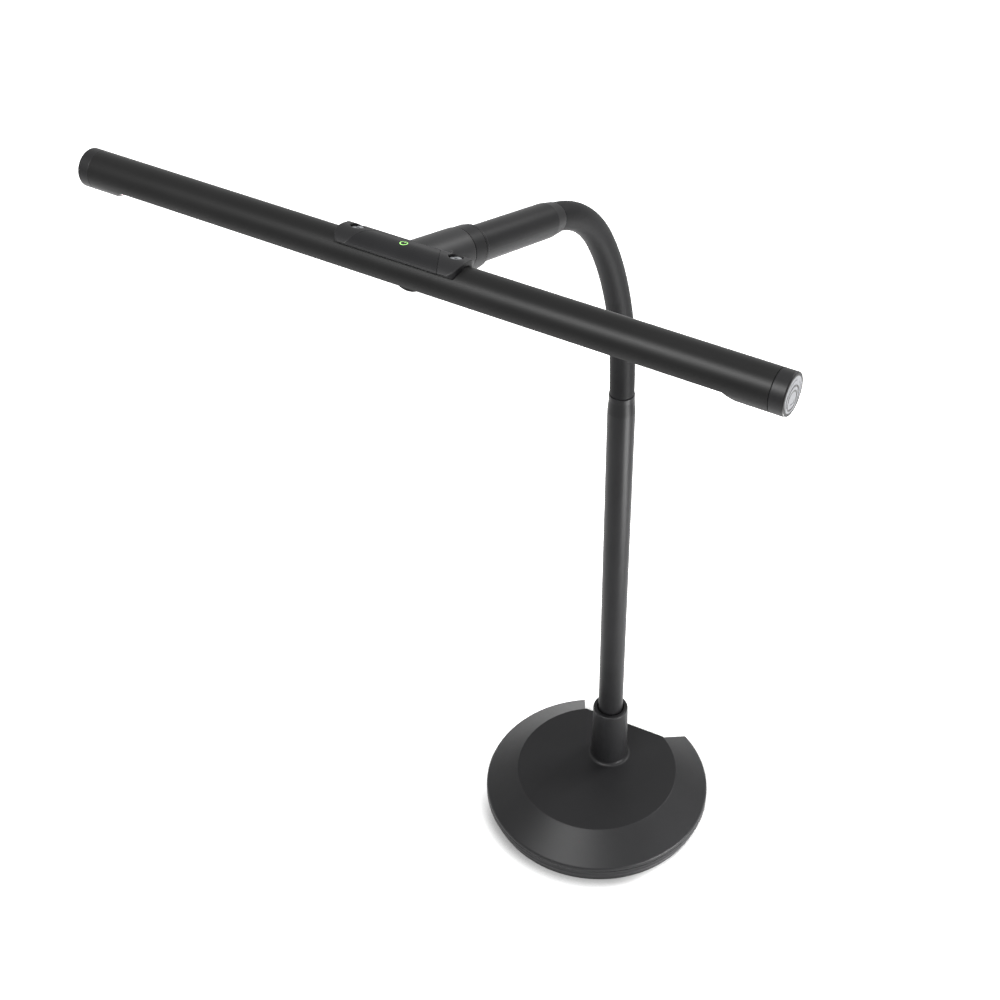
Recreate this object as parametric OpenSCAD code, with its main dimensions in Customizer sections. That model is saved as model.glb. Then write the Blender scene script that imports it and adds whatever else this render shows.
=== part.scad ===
// Piano lamp: a light bar on a flexible neck, carried by a pole on a weighted round base.
// Origin: middle of the base on the table. +Z is up, +X runs along the light bar,
// and the lamp reaches forward along -Y. All sizes are in millimetres.

/* [Base] */
// Diameter of the base at its widest edge
base_d = 210; // [196:1:230]
// Diameter of the flat disc on top of the base
base_top_d = 149.5; // [142:0.5:158]
// Height of the base's top face above the table
base_h = 39.5; // [36:0.5:44]
// Height of the base's widest edge above the table
rim_h = 20; // [18.5:0.5:23]
// Height of the parting line between the tray and the cover
parting_h = 16.5; // [16.4:0.1:17.5]
// Height of the small groove along the parting line
groove_h = 1; // [0.6:0.1:1.4]
// Height at which the tray's side starts to draw in towards the foot pad
tray_wall_h = 11.5; // [9:0.5:14]
// How far the tray draws in towards the foot pad
tray_taper = 3; // [1:0.5:3.5]
// Thickness of the foot pad
foot_pad_t = 3; // [2:0.5:3.5]
// How far the foot pad stands back from the foot of the tray
foot_inset = 0.6; // [0.2:0.1:2]
// Wall of the cover and of the tray
shell_t = 2.4; // [1.8:0.1:2.8]
// Thickness of the ballast plate
ballast_t = 11; // [8:0.5:11]
// Clearance between the ballast plate and the shells around it
ballast_gap = 2.6; // [1.5:0.1:4]
// Distance of the rear notch's flat wall from the middle of the base
notch_dist = 63; // [61:0.5:66]
// Width of the rear notch's flat wall
notch_w = 84; // [74:1:90]
// Angle that each side wall of the rear notch opens outwards
notch_splay = 25; // [10:1:32]
// Turn of the rear notch about the middle of the base
notch_turn = 5; // [0:1:8]

/* [Base screws] */
// Diameter of the circle that the base screws stand on
screw_circle_d = 168; // [158:1:174]
// Diameter of the base screws' shanks
screw_d = 4; // [3:0.5:4.5]
// Length of the base screws below their heads
screw_l = 22; // [18:1:24]
// Diameter of the posts that the base screws enter
post_d = 10; // [8:0.5:12]

/* [Pole] */
// Distance of the pole's axis behind the middle of the base
pole_y = 23; // [18:0.5:24]
// Diameter of the pole
pole_d = 22.8; // [21:0.2:24]
// Wall of the pole
pole_wall = 1.5; // [1.2:0.1:1.8]
// Height of the pole's top rim above the table
pole_top = 467.5; // [380:0.5:560]
// Diameter of the pole's necked top rim
pole_rim_d = 21; // [20.5:0.1:21.4]
// Length of the necked stretch at the pole's top
pole_neck_l = 17; // [12:1:24]
// Length of the steel plug in the pole's foot
plug_l = 44; // [36:1:60]
// Diameter of the bolt that holds the pole down
bolt_d = 6; // [5:0.5:6.5]
// Length of the bolt inside the plug
bolt_l = 22; // [16:1:26]

/* [Collar] */
// Bore of the collar around the pole
collar_bore = 25; // [24.6:0.1:26]
// Outer diameter of the collar at its top
collar_top_d = 32.2; // [30:0.2:33]
// Outer diameter of the collar at its foot
collar_foot_d = 34.2; // [33:0.2:36]
// Height of the collar's rim above the table
collar_top = 103; // [80:1:130]
// Radius of the fillet where the collar meets the base
collar_fillet = 3.5; // [2:0.5:6]
// Depth of the bush below the collar's rim
bush_depth = 8; // [4:1:14]

/* [Neck] */
// Outer diameter of the flexible neck's sleeve
hose_d = 20; // [19.4:0.1:20.4]
// Outer diameter of the wound steel core inside the sleeve
core_d = 14.4; // [12:0.2:15]
// Diameter of the lead that runs inside the lamp
lead_d = 4; // [3:0.2:4.6]
// Length of each of the neck's lengths along its middle line
neck_step = 42.6; // [38:0.1:50]
// Bend of each of the neck's lengths, from the pole upwards
neck_bends = [5.3, 9.1, 7.7, 9.4, 19.4, 21.8];
// Length of the core that is held in the pole and in the arm
core_held = 40; // [30:1:50]
// Clearance between the ball end and the hollow end of neighbouring lengths
ball_gap = 0.3; // [0.2:0.05:0.4]

/* [Arm] */
// Distance from the light bar's axis to the neck end of the arm
arm_l = 175.5; // [160:0.5:200]
// Diameter of the arm's sleeve
sleeve_d = 24; // [23:0.2:25]
// Wall of the arm's sleeve
sleeve_wall = 1.5; // [1.2:0.1:1.6]
// Diameter of the sleeve's rim around the flexible neck
sleeve_rim_d = 21.5; // [20.8:0.1:22]
// Length of the rounded stretch behind that rim
sleeve_neck_l = 12; // [8:1:18]
// Diameter of the sleeve's front flange
flange_d = 28; // [27:0.2:28.6]
// Width of the sleeve's front flange
flange_w = 3; // [2:0.5:5]
// Diameter of the swivel ring
ring_d = 29; // [28.4:0.2:30]
// Width of the swivel ring
ring_w = 12.4; // [9:0.2:16]
// Width of the grooves on both sides of the swivel ring
ring_groove = 0.8; // [0.6:0.1:1]
// Diameter of the swivel spindle where it turns in the housing
spindle_d = 16; // [14:0.5:17]
// Running clearance around the spindle, on the radius
spindle_gap = 0.06; // [0.03:0.01:0.1]
// Bore of the spindle for the lead
spindle_bore = 8; // [6:0.5:9]

/* [Light bar] */
// Length of the light bar with its end caps
bar_l = 495; // [400:5:620]
// Diameter of the light bar
bar_d = 25.4; // [24.6:0.2:26]
// Wall of the lamp tube
bar_wall = 1.5; // [1.2:0.1:1.8]
// Distance of the flat light window from the bar's axis
window_z = 7.3; // [6.2:0.1:7.6]
// Distance from the flat light window to each end of the light bar
window_margin = 35.5; // [34:0.5:80]
// Length of the slope at each end of the light window
window_ramp = 9; // [8:0.5:14]
// Thickness of the diffuser
diffuser_t = 2; // [1.5:0.1:2.5]
// Visible length of each end cap
cap_l = 9; // [7:0.5:14]
// Length of each end cap's plug inside the tube
cap_plug_l = 12; // [8:1:16]
// Diameter of the round badge plate in each end cap
badge_d = 21; // [16:0.5:22]
// Thickness of the round badge plate
badge_t = 1; // [0.8:0.1:1.5]
// Height of the light source board above the bar's axis
board_z = 3.8; // [3:0.1:4.6]
// Thickness of the light source board
board_t = 1.2; // [0.8:0.1:1.6]
// Width of the light source board
board_w = 16; // [12:0.5:17]
// Number of light sources
led_count = 32; // [16:2:48]

/* [Housing] */
// Diameter of the housing behind the light bar
housing_d = 30; // [29.6:0.1:31]
// Distance from the light bar's axis to the housing's rear end
housing_l = 55.2; // [54:0.2:64]
// Length of the saddle along the light bar
saddle_l = 88; // [80:1:100]
// Radius of the saddle's outside about the bar's axis
saddle_r = 16; // [15.2:0.1:16.6]
// Distance of the saddle's middle from the arm's axis, along the light bar
saddle_x = -2.4; // [-4:0.1:4]
// Angle that the saddle reaches round the front of the bar, from its top
saddle_wrap = 59.2; // [50:0.1:64]
// Depth of the saddle's flat top behind the bar's axis
saddle_flat = 5.8; // [4:0.2:7]
// Distance of the lip under the bar behind the bar's axis
lip_y = 5.2; // [2:0.2:11]
// Length of the touch panel's front edge
panel_l = 64.5; // [50:0.5:68]
// How far each end of the touch panel runs in from its front edge to its back edge
panel_taper = 10; // [0:0.5:12]
// Thickness of the touch panel
panel_t = 1; // [0.8:0.1:1.2]
// Gap around the touch panel
panel_gap = 0.2; // [0.1:0.05:0.3]
// Distance of each saddle screw from the middle of the saddle
saddle_screw_x = 34.8; // [33.4:0.2:38]
// Diameter of the saddle screws' shanks
saddle_screw_d = 3; // [2:0.5:3.5]
// Turn of the light bar about the arm in the pose shown
head_turn = -0.8; // [-5:0.1:5]

/* [Driver] */
// Width of the driver board
driver_w = 56; // [50:1:66]
// Depth of the driver board, front to back
driver_l = 22; // [20:0.5:22.5]
// Thickness of the driver board
driver_t = 1.6; // [1:0.2:2]
// Height of the spacers under the driver board
spacer_h = 5; // [4:0.5:6]
// Bore of the power inlet
inlet_bore = 6.4; // [5.6:0.1:6.6]
// Depth of the power inlet's bore
inlet_depth = 9.5; // [8:0.5:11]

/* [Hidden] */
$fn = 96;

// Clearances
fit_gap = 0.1;          // around pieces that sit still in one another, on the radius
cut = 1;                // how far a cutter runs past the face it opens
free_gap = 0.3;         // between pieces that turn past one another
joint_step = 0.05;      // step on the radius where one stretch of a piece runs into the next
joint_sink = 1;         // how far such a stretch starts inside its neighbour

// Colours
black_satin = "#2b2c2f";
black_plastic = "#303133";
black_rubber = "#252627";
steel = "#a9adb2";
brass = "#c2a152";
board_green = "#2f6b46";
opal = "#f2f1ec";

// Base
base_r = base_d / 2;
top_r = base_top_d / 2;
slope = atan((base_h - rim_h) / (base_r - top_r));
tray_floor = foot_pad_t + shell_t;
ballast_top = tray_floor + ballast_t;
tray_foot_r = base_r - tray_taper;
tray_inner_r = tray_foot_r - shell_t;
ballast_r = tray_inner_r - ballast_gap;
inner_r = base_r - shell_t;
inner_top = base_h - shell_t;
groove_d = 0.8;
top_edge_r = 1.5;
rim_edge_r = 3.2;
screw_head_d = screw_d * 2;
screw_head_h = shell_t - 0.4;
screw_angles = [for (i = [0:4]) 160 + i * 55];

// Pole
pole_r = pole_d / 2;
pole_bore_r = pole_r - pole_wall;
pole_foot = ballast_top;
pole_neck_bore_r = pole_rim_d / 2 - pole_wall;
bolt_head_d = bolt_d * 1.7;
bolt_head_h = 4;
washer_t = 1.2;
washer_d = bolt_d * 2;
bolt_seat = tray_floor + bolt_head_h + washer_t + free_gap;
lead_r = lead_d / 2;
lead_hole_r = lead_r + 0.2;
lead_side = pole_bore_r - lead_hole_r - 0.9;
lead_exit_h = ballast_top + spacer_h + driver_t + lead_r + 2;

// Neck
hose_r = hose_d / 2;
core_r = core_d / 2;
core_bore_r = lead_r + 0.4;
hose_bore_r = core_r + fit_gap;
stub_l = 3;
run_start = hose_r;
neck_count = len(neck_bends);
function neck_angle(i) = i == 0 ? 0 : neck_angle(i - 1) + neck_bends[i - 1];
function neck_radius(i) = neck_step / (neck_bends[i - 1] * PI / 180);
function neck_chord(i) = 2 * neck_radius(i) * sin(neck_bends[i - 1] / 2);
function neck_heading(i) = neck_angle(i - 1) + neck_bends[i - 1] / 2;
function neck_point(i) = i == 0 ? [pole_y, pole_top] :
  neck_point(i - 1) + neck_chord(i) * [-sin(neck_heading(i)), cos(neck_heading(i))];
neck_end = neck_point(neck_count);
arm_angle = neck_angle(neck_count);

// Arm: distances along it are counted from the light bar's axis towards the neck
bar_axis = neck_end + arm_l * [-sin(arm_angle), cos(arm_angle)];
sleeve_r = sleeve_d / 2;
sleeve_bore_r = sleeve_r - sleeve_wall;
sleeve_neck_bore_r = sleeve_rim_d / 2 - sleeve_wall;
ring_start = housing_l + ring_groove;
ring_end = ring_start + ring_w;
sleeve_start = ring_end + ring_groove;
spindle_r = spindle_d / 2;
spindle_body_r = sleeve_bore_r - fit_gap;
spindle_start = 20.5;
spindle_end = sleeve_start + 36;
web_start = 40;
nut_t = 6;
nut_r = 11;
washer_r = 11;
spring_washer_t = 2;
friction_washer_t = 1.5;
friction_washer_start = web_start - friction_washer_t - 0.1;
spring_washer_start = friction_washer_start - spring_washer_t - 0.1;
nut_start = spring_washer_start - nut_t - 0.1;
cavity_r = 12.2;
stop_r = 1.5;
stop_y = 25.5;
stop_reach = 11;
stop_rib_w = 6;
stop_rib_r = spindle_r + free_gap + 0.3;

// Light bar
bar_r = bar_d / 2;
bar_bore_r = bar_r - bar_wall;
tube_half = bar_l / 2 - cap_l;
window_half = bar_l / 2 - window_margin;
window_end = window_half + window_ramp;
glow_r = bar_bore_r - fit_gap;
spreader_z = board_z + board_t;
spreader_half = window_half + 6;
led_pitch = 2 * (window_half - 6) / (led_count - 1);
led_size = [3.5, 2.8, 0.8];
cap_edge_r = 0.9;
seam_d = 0.5;

// Housing
housing_r = housing_d / 2;
tube_seat_r = bar_r + 0.05;
saddle_half = saddle_l / 2;
saddle_front = saddle_r * sin(saddle_wrap);
saddle_corner = 8;
saddle_back = saddle_flat + 7.4;
saddle_back_corner = 9;
saddle_slope_end = [saddle_back + 1.6, 7.6];
sweep_r = 17;
sweep_x = 13;
shelf_z = 8.5;
shelf_half = sweep_x + sweep_r - 4;
panel_half = panel_l / 2;
panel_back = saddle_flat - 1.2;
panel_slope = panel_taper / (saddle_front + panel_back);
saddle_screw_y = 2;
recess_r = saddle_screw_d + 1.8;
screw_seat_z = bar_r + 0.6;
saddle_head_r = saddle_screw_d * 1.15;
saddle_head_h = 1.6;
icon_r = 2.5;
icon_line = 0.55;
icon_place = [1.1, -2.3];
icon_t = 0.25;
lead_slot_r = 4;

// Driver
driver_y = notch_dist - shell_t - 1.6 - driver_l / 2;
spacer_x = driver_w / 2 - 4;
spacer_y = driver_l / 2 - 3.5;
spacer_d = 5;
driver_z = ballast_top + spacer_h;
inlet_size = [10, 14, 11];
inlet_axis_z = driver_z + driver_t + inlet_size.z / 2;
inlet_nose_r = inlet_bore / 2 + 0.9;

// ---------------------------------------------------------------- outlines

// The points that round one corner b, between its neighbours a and c, to radius r
function corner(a, b, c, r, steps = 6) =
  r == 0 ? [b] :
  let (
    u = (a - b) / norm(a - b),
    v = (c - b) / norm(c - b),
    half = acos(u * v) / 2,
    middle = b + (u + v) / norm(u + v) * r / sin(half),
    from = b + u * r / tan(half) - middle,
    to = b + v * r / tan(half) - middle,
    first = atan2(from.y, from.x),
    sweep = (atan2(to.y, to.x) - first + 540) % 360 - 180
  )
  [for (i = [0:steps]) middle + r * [cos(first + sweep * i / steps), sin(first + sweep * i / steps)]];

// An outline whose corners are rounded, each to its own radius
function rounded(points, radii) =
  let (n = len(points))
  [for (i = [0:n - 1]) each corner(points[(i + n - 1) % n], points[i], points[(i + 1) % n], radii[i])];

// Half the width of the notch's flat when its walls stand back by grow
function notch_half(grow) = notch_w / 2 + grow * (1 - sin(notch_splay)) / cos(notch_splay);

// ---------------------------------------------------------------- helpers

// The rear notch as a solid, with its walls moved into the base by grow
module notch(grow) {
  reach = base_r + 10;
  near = notch_dist - grow;
  wide = notch_half(grow) + (reach - near) * tan(notch_splay);
  rotate([0, 0, notch_turn])
    translate([0, 0, -cut])
      linear_extrude(base_h + 2 * cut)
        polygon([[-notch_half(grow), near], [notch_half(grow), near], [wide, reach], [-wide, reach]]);
}

module ring(r_out, r_in, h) {
  rotate_extrude() translate([r_in, 0]) square([r_out - r_in, h]);
}

// A rod from one point of the pole's plane to another, with a slightly proud round end at the second
module rod(from, to, r) {
  way = to - from;
  translate([0, from.x, from.y])
    rotate([-atan2(way.x, way.y), 0, 0])
      cylinder(r = r, h = norm(way));
  translate([0, to.x, to.y]) sphere(r = r + joint_step);
}

// Places its children at the end of neck length i, with +Z along the neck
module at_neck(i) {
  translate([0, neck_point(i).x, neck_point(i).y])
    rotate([neck_angle(i), 0, 0])
      children();
}

// Places its children in the arm's frame: origin on the bar's axis, +Y towards the neck
module at_arm() {
  translate([0, bar_axis.x, bar_axis.y])
    rotate([arm_angle - 90, 0, 0])
      children();
}

// The arm's frame, turned with the lamp head about the arm
module at_head() {
  at_arm() rotate([0, head_turn, 0]) children();
}

// In the arm's frame: stands its children's +Z along the arm, from distance s
module along_arm(s) {
  translate([0, s, 0]) rotate([-90, 0, 0]) children();
}

// In the head's frame: stands its children's +Z along the light bar, from x
module along_bar(x) {
  translate([x, 0, 0]) rotate([90, 0, 90]) children();
}

// One bent length of the neck as a pipe or a rod, begun at a distance along its middle line
module neck_bend(i, r_out, r_in, start = 0) {
  skipped = start / neck_step * neck_bends[i - 1];
  at_neck(i - 1)
    translate([0, -neck_radius(i), 0])
      rotate([90 + skipped, 0, 0]) rotate([0, 90, 0])
        rotate_extrude(angle = neck_bends[i - 1] - skipped, $fn = 180)
          translate([neck_radius(i), 0])
            difference() {
              circle(r = r_out, $fn = 48);
              if (r_in > 0) circle(r = r_in, $fn = 48);
            }
}

// The hollow that the ball of the length below turns in
module neck_socket(i) {
  if (i > 1) at_neck(i - 1) sphere(r = hose_r + ball_gap);
}

// The round end of one length, with the bore for the core
module neck_ball() {
  rotate_extrude()
    intersection() {
      circle(r = hose_r - joint_step);
      translate([hose_bore_r + joint_step, -joint_sink]) square(hose_d);
    }
}

// A straight pipe of the core that runs on from a bent length
module core_run(l) {
  translate([0, 0, -joint_sink])
    ring(core_r - joint_step, core_bore_r + joint_step, l + joint_sink);
}

// A straight stretch of the lead that runs on from a bent length
module lead_run(l) {
  translate([0, 0, -joint_sink])
    cylinder(r = lead_r - joint_step, h = l + joint_sink);
}

module neck_hose(i) {
  color(black_rubber)
    difference() {
      union() {
        neck_bend(i, hose_r, hose_bore_r);
        if (i < neck_count) at_neck(i) neck_ball();
      }
      neck_socket(i);
    }
}

module neck_core(i) {
  color(steel)
    union() {
      neck_bend(i, core_r, core_bore_r, i == 1 ? 0 : run_start);
      at_neck(i) core_run(i == neck_count ? core_held : stub_l);
      if (i == 1) at_neck(0) mirror([0, 0, 1]) core_run(core_held);
    }
}

module neck_lead(i) {
  color(black_rubber)
    union() {
      neck_bend(i, lead_r, 0, i == 1 ? 0 : run_start);
      at_neck(i) lead_run(i == neck_count ? core_held : stub_l);
      if (i == 1) at_neck(0) mirror([0, 0, 1]) lead_run(core_held);
    }
}

// ---------------------------------------------------------------- base

module foot_pad() {
  r = tray_foot_r - foot_inset;
  color(black_rubber)
    difference() {
      rotate_extrude()
        polygon(rounded([[0, 0], [r - 0.6, 0], [r, foot_pad_t], [0, foot_pad_t]], [0, 0.8, 0, 0]));
      notch(foot_inset);
    }
}

module base_tray() {
  color(black_plastic)
    difference() {
      rotate_extrude()
        polygon([
          [0, foot_pad_t],
          [tray_foot_r, foot_pad_t],
          [base_r, tray_wall_h],
          [base_r, parting_h - groove_h / 2],
          [base_r - groove_d, parting_h],
          [0, parting_h]
        ]);
      notch(0);
      difference() {
        translate([0, 0, tray_floor]) cylinder(r = tray_inner_r, h = parting_h);
        notch(shell_t);
      }
      for (a = screw_angles)
        rotate([0, 0, a])
          translate([screw_circle_d / 2, 0, foot_pad_t]) {
            cylinder(r1 = screw_head_d / 2 + fit_gap, r2 = screw_d / 2 + fit_gap, h = screw_head_h);
            translate([0, 0, -cut]) cylinder(r = screw_d / 2 + fit_gap, h = shell_t + 2 * cut);
          }
    }
}

module ballast_plate() {
  color("#55585c")
    difference() {
      translate([0, 0, tray_floor]) cylinder(r = ballast_r, h = ballast_t);
      notch(shell_t + ballast_gap);
      for (a = screw_angles)
        rotate([0, 0, a])
          translate([screw_circle_d / 2, 0, tray_floor - cut])
            cylinder(r = screw_d / 2 + 2 * fit_gap, h = ballast_t + 2 * cut);
      translate([0, pole_y, tray_floor - cut]) {
        cylinder(r = bolt_d / 2 + fit_gap, h = ballast_t + 2 * cut);
        cylinder(r = washer_d / 2 + free_gap, h = bolt_seat - tray_floor + cut);
      }
    }
}

module base_cover() {
  color(black_plastic)
    difference() {
      union() {
        cover_shell();
        translate([0, pole_y, 0]) collar();
      }
      translate([0, pole_y, inner_top - cut]) cylinder(d = collar_bore, h = collar_top);
      inlet_hole();
    }
}

// The cover without its collar, with the posts for the base screws
module cover_shell() {
  difference() {
    rotate_extrude()
      polygon(rounded([
        [0, parting_h],
        [base_r - groove_d, parting_h],
        [base_r, parting_h + groove_h / 2],
        [base_r, rim_h],
        [top_r, base_h],
        [0, base_h]
      ], [0, 0, 0, rim_edge_r, top_edge_r, 0]));
    notch(0);
    difference() {
      rotate_extrude()
        polygon([
          [0, parting_h - cut],
          [inner_r, parting_h - cut],
          [inner_r, rim_h - shell_t * tan(45 - slope / 2)],
          [top_r - shell_t * tan(slope / 2), inner_top],
          [0, inner_top]
        ]);
      notch(shell_t);
      for (a = screw_angles)
        rotate([0, 0, a])
          translate([screw_circle_d / 2, 0, ballast_top])
            cylinder(d = post_d, h = base_h);
    }
    for (a = screw_angles)
      rotate([0, 0, a])
        translate([screw_circle_d / 2, 0, ballast_top - cut])
          cylinder(r = screw_d / 2, h = tray_floor + screw_l - ballast_top + cut);
  }
}

// The tapered collar, its rim and the fillet at its foot
module collar() {
  foot_r = collar_foot_d / 2;
  wall = (collar_top_d - collar_bore) / 2;
  rotate_extrude()
    polygon(rounded([
      [collar_bore / 2 - cut, inner_top],
      [foot_r + collar_fillet + 1, inner_top],
      [foot_r + collar_fillet + 1, base_h],
      [foot_r, base_h],
      [collar_top_d / 2, collar_top],
      [collar_bore / 2 - cut, collar_top]
    ], [0, 0, 0, collar_fillet, wall * 0.4, 0]));
}

module base_screws() {
  color(steel)
    for (a = screw_angles)
      rotate([0, 0, a])
        translate([screw_circle_d / 2, 0, foot_pad_t])
          difference() {
            union() {
              cylinder(r1 = screw_head_d / 2, r2 = screw_d / 2, h = screw_head_h);
              cylinder(r = screw_d / 2 - 0.05, h = screw_l);
            }
            phillips(screw_d);
          }
}

// A cross recess, opening downwards at z = 0
module phillips(size) {
  for (turn = [0, 90])
    rotate([0, 0, turn])
      translate([-size / 2, -size / 10, -cut])
        cube([size, size / 5, size / 4 + cut]);
}

// ---------------------------------------------------------------- driver

module at_spacers() {
  rotate([0, 0, notch_turn])
    for (x = [-spacer_x, spacer_x], y = [-spacer_y, spacer_y])
      translate([x, driver_y + y, 0])
        children();
}

module driver_board() {
  color(board_green)
    difference() {
      rotate([0, 0, notch_turn])
        translate([-driver_w / 2, driver_y - driver_l / 2, driver_z])
          cube([driver_w, driver_l, driver_t]);
      at_spacers() translate([0, 0, driver_z - cut]) cylinder(r = 1.4, h = driver_t + 2 * cut);
    }
}

// The coil, the capacitors and the lead's socket on the driver board
module driver_parts() {
  color("#3b3d40")
    rotate([0, 0, notch_turn])
      translate([0, driver_y, driver_z + driver_t]) {
        translate([16, 1, 0]) cylinder(d = 10, h = 7);
        translate([-13, 4, 0]) cylinder(d = 6.3, h = 9);
        translate([-13, -4, 0]) cylinder(d = 6.3, h = 9);
        translate([-22, -2.5, 0]) cube([4, 5, 1.6]);
        translate([-4, -driver_l / 2 + 1, 0]) cube([8, 5, 1.8]);
      }
}

module driver_spacers() {
  color(brass)
    at_spacers()
      translate([0, 0, ballast_top])
        ring(spacer_d / 2, 1.25, spacer_h);
}

module driver_screws() {
  color(steel)
    at_spacers()
      translate([0, 0, driver_z + driver_t]) {
        cylinder(r = 2.2, h = 1.6);
        translate([0, 0, -driver_t - spacer_h + 1]) cylinder(r = 1.2, h = driver_t + spacer_h);
      }
}

module inlet_hole() {
  rotate([0, 0, notch_turn])
    translate([0, notch_dist - 2 * shell_t, inlet_axis_z])
      rotate([-90, 0, 0])
        cylinder(r = inlet_nose_r + fit_gap, h = 2 * shell_t + cut);
}

// The round low-voltage inlet: body, nose, bore and centre pin
module dc_inlet() {
  body_y = notch_dist - shell_t - 0.2;
  color("#1d1e20")
    rotate([0, 0, notch_turn])
      difference() {
        union() {
          translate([-inlet_size.x / 2, body_y - inlet_size.y, driver_z + driver_t]) cube(inlet_size);
          translate([0, body_y - cut, inlet_axis_z])
            rotate([-90, 0, 0])
              cylinder(r = inlet_nose_r, h = notch_dist - body_y + cut);
        }
        translate([0, notch_dist - inlet_depth, inlet_axis_z])
          rotate([-90, 0, 0])
            difference() {
              cylinder(d = inlet_bore, h = inlet_depth + cut);
              translate([0, 0, -cut]) cylinder(d = 2, h = inlet_depth);
            }
      }
}

// ---------------------------------------------------------------- pole

module pole_bolt() {
  color(steel)
    translate([0, pole_y, 0]) {
      translate([0, 0, bolt_seat - washer_t - bolt_head_h])
        cylinder(d = bolt_head_d, h = bolt_head_h, $fn = 6);
      translate([0, 0, bolt_seat - washer_t])
        cylinder(r = bolt_d / 2 - 0.05, h = washer_t + ballast_top - bolt_seat + bolt_l);
    }
}

module pole_washer() {
  color(steel)
    translate([0, pole_y, bolt_seat - washer_t])
      ring(washer_d / 2, bolt_d / 2 + fit_gap, washer_t);
}

module pole_plug() {
  color("#8b8e92")
    difference() {
      translate([0, pole_y, pole_foot]) cylinder(r = pole_bore_r - fit_gap, h = plug_l);
      translate([0, pole_y, pole_foot - cut]) cylinder(r = bolt_d / 2, h = bolt_l + 2 + cut);
      translate([0, pole_y + lead_side, lead_exit_h - lead_hole_r]) cylinder(r = lead_hole_r, h = plug_l);
      lead_window();
    }
}

// The hole through which the lead leaves the plug and the pole
module lead_window() {
  translate([0, pole_y + lead_side, lead_exit_h])
    rotate([-90, 0, 0])
      cylinder(r = lead_hole_r, h = pole_d);
}

module pole_tube() {
  neck_foot = pole_top - pole_neck_l;
  color(black_satin)
    difference() {
      translate([0, pole_y, 0])
        rotate_extrude()
          polygon(rounded([
            [pole_bore_r, pole_foot],
            [pole_r, pole_foot],
            [pole_r, neck_foot],
            [pole_rim_d / 2, neck_foot + pole_neck_l * 0.7],
            [pole_rim_d / 2, pole_top],
            [pole_neck_bore_r, pole_top],
            [pole_neck_bore_r, neck_foot + pole_neck_l * 0.6],
            [pole_bore_r, neck_foot - 1]
          ], [0, 0, 12, 12, 0.6, 0.3, 0, 0]));
      lead_window();
    }
}

module collar_bush() {
  color("#101112")
    translate([0, pole_y, base_h])
      ring(collar_bore / 2 - 0.05, pole_r + 0.05, collar_top - bush_depth - base_h);
}

// The lead from the driver board up through the pole
module pole_lead() {
  side = pole_y + lead_side;
  plug_top = pole_foot + plug_l;
  color("#17181a")
    union() {
      translate([0, side + 5, lead_exit_h]) sphere(r = lead_r + joint_step);
      rod([side + 5, lead_exit_h], [side, lead_exit_h], lead_r);
      rod([side, lead_exit_h], [side, plug_top + 8], lead_r);
      rod([side, plug_top + 8], [pole_y, plug_top + 38], lead_r);
      rod([pole_y, plug_top + 38], [pole_y, pole_top - core_held - lead_r - 0.3], lead_r);
    }
}

module neck_ferrule_lower() {
  foot = pole_top - core_held;
  color(steel)
    translate([0, pole_y, foot])
      ring(pole_bore_r - fit_gap, core_r + fit_gap, core_held - pole_neck_l - 1.5);
}

// ---------------------------------------------------------------- arm and swivel

module neck_ferrule_upper() {
  color(steel)
    at_arm()
      along_arm(arm_l - core_held)
        ring(sleeve_bore_r - fit_gap, core_r + fit_gap, core_held - sleeve_neck_l - 1.5);
}

module arm_sleeve() {
  shoulder = arm_l - sleeve_neck_l;
  color(black_satin)
    at_arm()
      along_arm(0)
        rotate_extrude()
          polygon(rounded([
            [sleeve_bore_r, sleeve_start],
            [flange_d / 2, sleeve_start],
            [flange_d / 2, sleeve_start + flange_w],
            [sleeve_r, sleeve_start + flange_w],
            [sleeve_r, shoulder],
            [sleeve_rim_d / 2, arm_l],
            [sleeve_neck_bore_r, arm_l],
            [sleeve_neck_bore_r, shoulder + sleeve_wall],
            [sleeve_bore_r, shoulder - 1]
          ], [0, 0.4, 0.6, 0.6, 14, 0.8, 0.3, 0, 0]));
}

module swivel_ring() {
  color(black_satin)
    at_arm()
      along_arm(ring_start)
        rotate_extrude()
          polygon(rounded([
            [sleeve_bore_r, 0],
            [ring_d / 2, 0],
            [ring_d / 2, ring_w],
            [sleeve_bore_r, ring_w]
          ], [0, 0.5, 0.5, 0]));
}

// The hollow spindle that the lamp head turns on
module swivel_spindle() {
  color(steel)
    at_arm()
      difference() {
        along_arm(0)
          rotate_extrude()
            polygon([
              [spindle_bore / 2, spindle_start],
              [spindle_r, spindle_start],
              [spindle_r, ring_start],
              [spindle_body_r, ring_start],
              [spindle_body_r, spindle_end],
              [spindle_bore / 2, spindle_end]
            ]);
        translate([0, stop_y, 0]) cylinder(r = stop_r + 0.02, h = spindle_d);
      }
}

module swivel_nut() {
  color(brass)
    at_arm()
      along_arm(nut_start)
        difference() {
          cylinder(r = nut_r, h = nut_t, $fn = 6);
          translate([0, 0, -cut]) cylinder(r = spindle_r + 0.02, h = nut_t + 2 * cut);
        }
}

module spring_washer() {
  color(steel)
    at_arm()
      along_arm(spring_washer_start)
        ring(washer_r - 0.6, spindle_r + fit_gap, spring_washer_t);
}

module friction_washer() {
  color("#d8d4c8")
    at_arm()
      along_arm(friction_washer_start)
        ring(washer_r, spindle_r + fit_gap, friction_washer_t);
}

module thrust_washer() {
  color("#d8d4c8")
    at_arm()
      along_arm(housing_l + 0.05)
        ring(sleeve_r, spindle_r + fit_gap, ring_groove - 0.1);
}

// The pin that meets the housing's rib at both ends of the swivel
module stop_pin() {
  color(steel)
    at_arm()
      translate([0, stop_y, spindle_bore / 2 + 0.5])
        cylinder(r = stop_r, h = stop_reach - spindle_bore / 2 - 0.5);
}

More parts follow.
